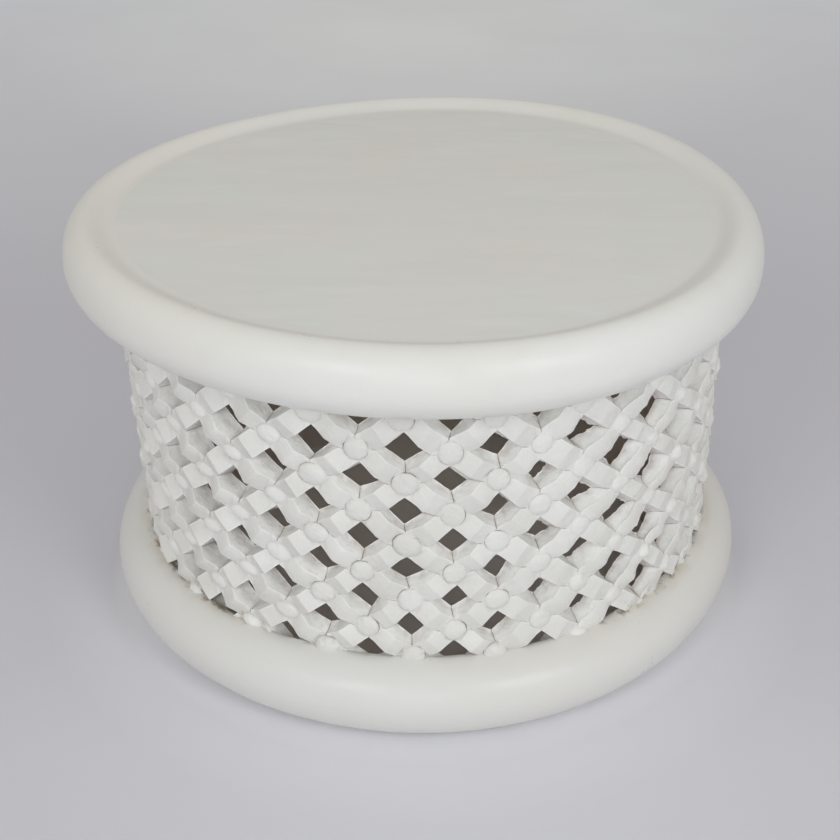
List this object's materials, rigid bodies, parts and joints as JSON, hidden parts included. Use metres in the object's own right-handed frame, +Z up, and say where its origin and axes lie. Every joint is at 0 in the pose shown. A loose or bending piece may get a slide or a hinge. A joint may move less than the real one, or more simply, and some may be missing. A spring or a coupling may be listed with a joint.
{
  "type": "openwork drum stool",
  "caption": "Low round stool carved in wood and painted white: dished seat with a bullnose rim, pierced drum wall of crossing struts with round bosses, bullnose foot ring.",
  "frame": {"origin": "on the floor, under the middle of the stool", "axes": "+Z up, -Y towards the viewed front, +X to the viewer's right"},
  "size_m": [0.6, 0.6, 0.367],
  "materials": {
    "seat_paint": "chalky white paint",
    "rim_paint": "chalky white paint",
    "base_paint": "chalky white paint",
    "lattice_paint": "chalky white paint"
  },
  "bodies": {
    "root": {"seat_board": "seat_paint", "rim_ring": "rim_paint", "base_ring": "base_paint", "lattice_panel_01": "lattice_paint", "lattice_panel_02": "lattice_paint", "lattice_panel_03": "lattice_paint", "lattice_panel_04": "lattice_paint", "lattice_panel_05": "lattice_paint", "lattice_panel_06": "lattice_paint", "lattice_panel_07": "lattice_paint", "lattice_panel_08": "lattice_paint", "lattice_panel_09": "lattice_paint", "lattice_panel_10": "lattice_paint", "lattice_panel_11": "lattice_paint", "lattice_panel_12": "lattice_paint", "lattice_panel_13": "lattice_paint", "lattice_panel_14": "lattice_paint", "lattice_panel_15": "lattice_paint", "lattice_panel_16": "lattice_paint", "lattice_panel_17": "lattice_paint", "lattice_panel_18": "lattice_paint", "lattice_panel_19": "lattice_paint", "lattice_panel_20": "lattice_paint", "lattice_panel_21": "lattice_paint", "lattice_panel_22": "lattice_paint", "lattice_panel_23": "lattice_paint"}
  },
  "joints": []
}
